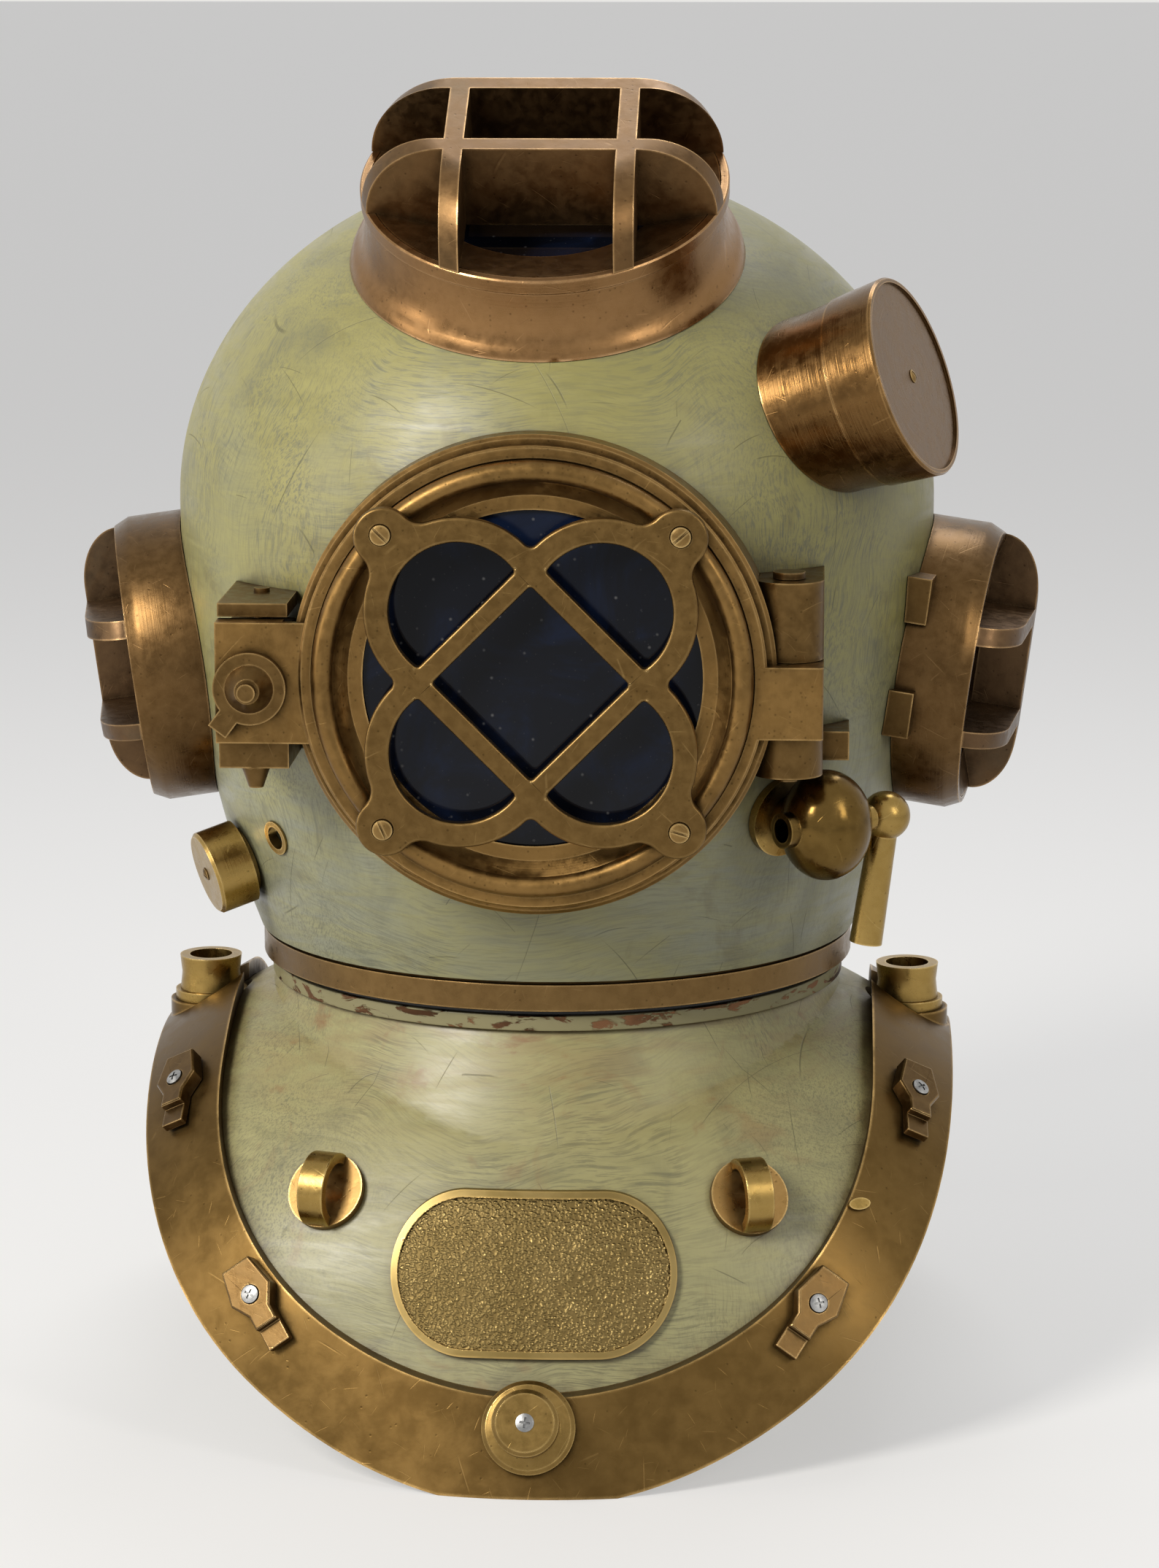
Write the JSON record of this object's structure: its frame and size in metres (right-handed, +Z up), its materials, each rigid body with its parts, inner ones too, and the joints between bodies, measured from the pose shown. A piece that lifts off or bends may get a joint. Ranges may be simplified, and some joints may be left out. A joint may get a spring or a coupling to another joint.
{
  "type": "diving helmet",
  "caption": "Standard-dress diving helmet: turned bonnet with hinged front door, caged windows, exhaust, spit tap and rear hose elbows, turning on a breastplate with button-held rim straps.",
  "frame": {"origin": "centre of the bounding box in plan, at the height of the two level feet of the breastplate's front and back", "axes": "+Z up, along the neck's axis; -Y towards the diver's front and the front door; +X to the right as seen from the front, the side with the exhaust valve"},
  "size_m": [0.3858, 0.4354, 0.5157],
  "materials": {
    "green_paint": "satin sage green paint with fine dark scratches",
    "cream_paint": "satin cream green paint with brown stains",
    "neck_copper": "satin bronze",
    "neck_band": "chipped grey white paint over copper",
    "dark_bronze": "mottled dark bronze with worn bright edges",
    "copper_brown": "satin copper brown",
    "satin_brass": "satin brushed brass",
    "satin_bronze": "satin bronze",
    "worn_brass": "worn brass",
    "polished_brass": "polished gold brass",
    "stippled_brass": "stippled golden brass",
    "grey_steel": "dull grey steel",
    "dark_glass": "thick dark glass",
    "black_rubber": "black rubber"
  },
  "bodies": {
    "breastplate": {"breastplate_shell": "cream_paint", "breastplate_neck_ring": "neck_band", "neck_gasket": "black_rubber", "front_rim": "satin_bronze", "rear_rim": "satin_bronze", "shoulder_washers": "polished_brass", "shoulder_nuts": "polished_brass", "button_screws": "grey_steel", "eyelet_bases": "satin_bronze", "eyelet_loops": "polished_brass", "name_plate": "stippled_brass", "rim_rivet": "polished_brass"},
    "bonnet": {"bonnet_shell": "green_paint", "bonnet_neck_ring": "neck_copper", "door_frame": "dark_bronze", "hinge_lugs": "dark_bronze", "latch_lugs": "dark_bronze", "hinge_pin": "worn_brass", "latch_pin": "worn_brass", "latch_block": "dark_bronze", "door_seal": "black_rubber", "top_window_collar": "copper_brown", "top_window_guard": "copper_brown", "top_window_glass": "dark_glass", "right_window_collar": "satin_brass", "right_window_guard": "satin_brass", "right_window_glass": "dark_glass", "left_window_collar": "satin_brass", "left_window_guard": "satin_brass", "left_window_glass": "dark_glass", "right_window_blocks": "worn_brass", "exhaust_body": "copper_brown", "tap_flange": "worn_brass", "tap_body": "dark_bronze", "side_knob_base": "worn_brass", "hole_bush": "polished_brass", "air_elbow": "satin_brass", "phone_elbow": "satin_brass"},
    "door": {"door_ring": "dark_bronze", "door_glass": "dark_glass", "door_gasket": "black_rubber", "door_clamp_ring": "worn_brass", "door_grille": "dark_bronze", "grille_screws": "worn_brass"},
    "wing_screw": {"wing_screw": "dark_bronze"},
    "exhaust_cap": {"exhaust_cap": "satin_brass"},
    "exhaust_stem": {"exhaust_stem": "satin_brass"},
    "tap_lever": {"tap_lever": "polished_brass"},
    "side_knob": {"side_knob": "polished_brass"},
    "front_knob": {"front_knob": "polished_brass"},
    "rear_knob": {"rear_knob": "polished_brass"},
    "front_button_upper_right": {"front_button_upper_right": "worn_brass"},
    "front_button_upper_left": {"front_button_upper_left": "worn_brass"},
    "front_button_lower_right": {"front_button_lower_right": "worn_brass"},
    "front_button_lower_left": {"front_button_lower_left": "worn_brass"},
    "rear_button_upper_right": {"rear_button_upper_right": "worn_brass"},
    "rear_button_upper_left": {"rear_button_upper_left": "worn_brass"},
    "rear_button_lower_right": {"rear_button_lower_right": "worn_brass"},
    "rear_button_lower_left": {"rear_button_lower_left": "worn_brass"}
  },
  "joints": [
    {"name": "bonnet_turn", "type": "hinge", "parent": "breastplate", "child": "bonnet", "pos_m": [0, 0, 0.1655], "axis": [0, 0, 1], "range_deg": [0, 45]},
    {"name": "door_hinge", "type": "hinge", "parent": "bonnet", "child": "door", "pos_m": [0.0935, -0.14, 0.293], "axis": [0, 0, 1], "range_deg": [0, 110]},
    {"name": "wing_screw_spin", "type": "hinge", "parent": "door", "child": "wing_screw", "pos_m": [-0.104, -0.156, 0.297], "axis": [0, -1, 0], "continuous": true},
    {"name": "exhaust_cap_turn", "type": "hinge", "parent": "bonnet", "child": "exhaust_cap", "pos_m": [0.11033, -0.0862, 0.396], "axis": [0.8885, -0.3234, 0.3256], "continuous": true},
    {"name": "exhaust_stem_slide", "type": "slide", "parent": "bonnet", "child": "exhaust_stem", "axis": [0.8885, -0.3234, 0.3256], "range_m": [0, 0.006], "stiffness_N_per_m": 300, "springref_m": -0.01},
    {"name": "tap_lever_turn", "type": "hinge", "parent": "bonnet", "child": "tap_lever", "pos_m": [0.10798, -0.122, 0.24001], "axis": [-0.7615, -0.6481, 0], "range_deg": [0, 90]},
    {"name": "side_knob_turn", "type": "hinge", "parent": "bonnet", "child": "side_knob", "pos_m": [-0.11976, -0.05332, 0.21], "axis": [-0.877, -0.3905, -0.28], "continuous": true},
    {"name": "front_knob_turn", "type": "hinge", "parent": "breastplate", "child": "front_knob", "pos_m": [0, -0.19044, 0.024], "axis": [0, -0.9135, 0.4067], "continuous": true},
    {"name": "rear_knob_turn", "type": "hinge", "parent": "breastplate", "child": "rear_knob", "pos_m": [0, 0.19044, 0.024], "axis": [0, 0.9135, 0.4067], "continuous": true},
    {"name": "front_button_upper_right_turn", "type": "hinge", "parent": "breastplate", "child": "front_button_upper_right", "pos_m": [0.1426, -0.07821, 0.123], "axis": [0.5275, -0.4304, 0.7324], "continuous": true},
    {"name": "front_button_upper_left_turn", "type": "hinge", "parent": "breastplate", "child": "front_button_upper_left", "pos_m": [-0.1426, -0.07821, 0.123], "axis": [-0.5275, -0.4304, 0.7324], "continuous": true},
    {"name": "front_button_lower_right_turn", "type": "hinge", "parent": "breastplate", "child": "front_button_lower_right", "pos_m": [0.105, -0.15609, 0.0625], "axis": [0.3107, -0.8591, 0.4068], "continuous": true},
    {"name": "front_button_lower_left_turn", "type": "hinge", "parent": "breastplate", "child": "front_button_lower_left", "pos_m": [-0.105, -0.15609, 0.0625], "axis": [-0.3107, -0.8591, 0.4068], "continuous": true},
    {"name": "rear_button_upper_right_turn", "type": "hinge", "parent": "breastplate", "child": "rear_button_upper_right", "pos_m": [0.1426, 0.07821, 0.123], "axis": [0.5275, 0.4304, 0.7324], "continuous": true},
    {"name": "rear_button_upper_left_turn", "type": "hinge", "parent": "breastplate", "child": "rear_button_upper_left", "pos_m": [-0.1426, 0.07821, 0.123], "axis": [-0.5275, 0.4304, 0.7324], "continuous": true},
    {"name": "rear_button_lower_right_turn", "type": "hinge", "parent": "breastplate", "child": "rear_button_lower_right", "pos_m": [0.105, 0.15609, 0.0625], "axis": [0.3107, 0.8591, 0.4068], "continuous": true},
    {"name": "rear_button_lower_left_turn", "type": "hinge", "parent": "breastplate", "child": "rear_button_lower_left", "pos_m": [-0.105, 0.15609, 0.0625], "axis": [-0.3107, 0.8591, 0.4068], "continuous": true}
  ]
}
